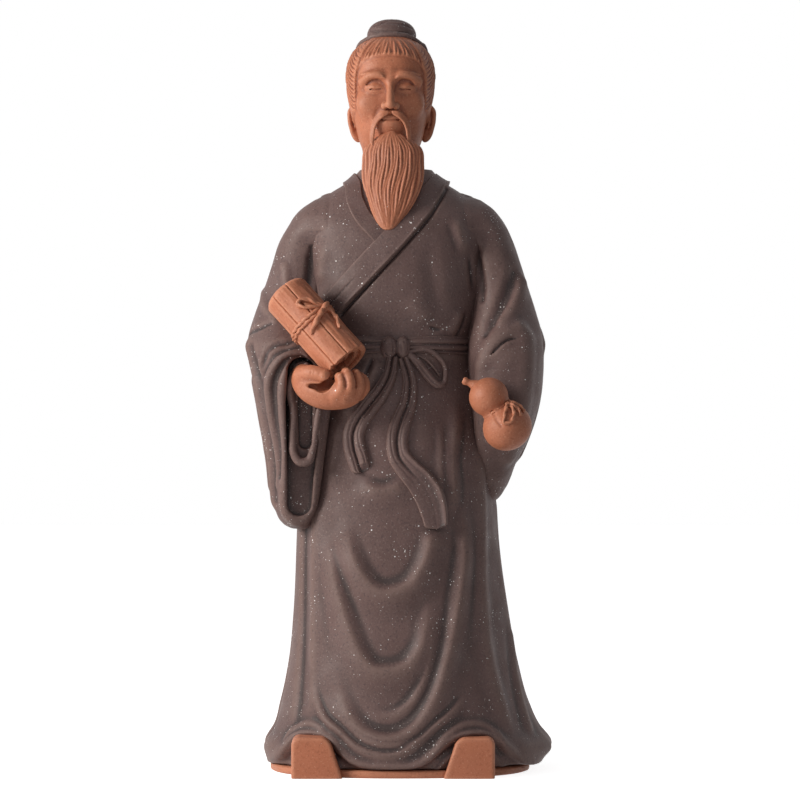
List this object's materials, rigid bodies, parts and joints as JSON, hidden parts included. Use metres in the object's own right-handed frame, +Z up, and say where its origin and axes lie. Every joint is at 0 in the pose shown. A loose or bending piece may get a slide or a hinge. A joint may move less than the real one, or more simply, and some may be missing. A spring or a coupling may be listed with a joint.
{
  "type": "ceramic figurine",
  "caption": "Standing robed elder in unglazed two-tone stoneware: dark hollow robe on a thin base slab, red clay head, long beard, hand with a roll of slips, and a gourd.",
  "frame": {"origin": "on the ground under the middle of the figurine's bounding box", "axes": "+Z up, -Y towards the viewer of the figurine's front, +X to that viewer's right"},
  "size_m": [0.1225, 0.1008, 0.3002],
  "materials": {
    "red_clay": "matte",
    "dark_clay": "matte"
  },
  "bodies": {
    "root": {"robe_skirt": "dark_clay", "robe_bodice": "dark_clay", "waist_sash": "dark_clay", "sash_knot": "dark_clay", "sash_loop": "dark_clay", "sash_tail_long": "dark_clay", "sash_tail_short": "dark_clay", "collar_outer": "dark_clay", "collar_inner": "dark_clay", "right_sleeve": "dark_clay", "right_sleeve_lining": "dark_clay", "left_sleeve": "dark_clay", "head_wrap": "dark_clay", "topknot": "dark_clay", "wrap_knot": "dark_clay", "base_slab": "red_clay", "right_shoe": "red_clay", "left_shoe": "red_clay", "head": "red_clay", "right_ear": "red_clay", "left_ear": "red_clay", "beard": "red_clay", "moustache_right": "red_clay", "moustache_left": "red_clay", "right_hand": "red_clay", "slip_roll": "red_clay", "roll_cord": "red_clay", "roll_bow": "red_clay", "gourd": "red_clay", "gourd_stem": "red_clay", "gourd_cord": "red_clay", "gourd_bow": "red_clay"}
  },
  "joints": []
}
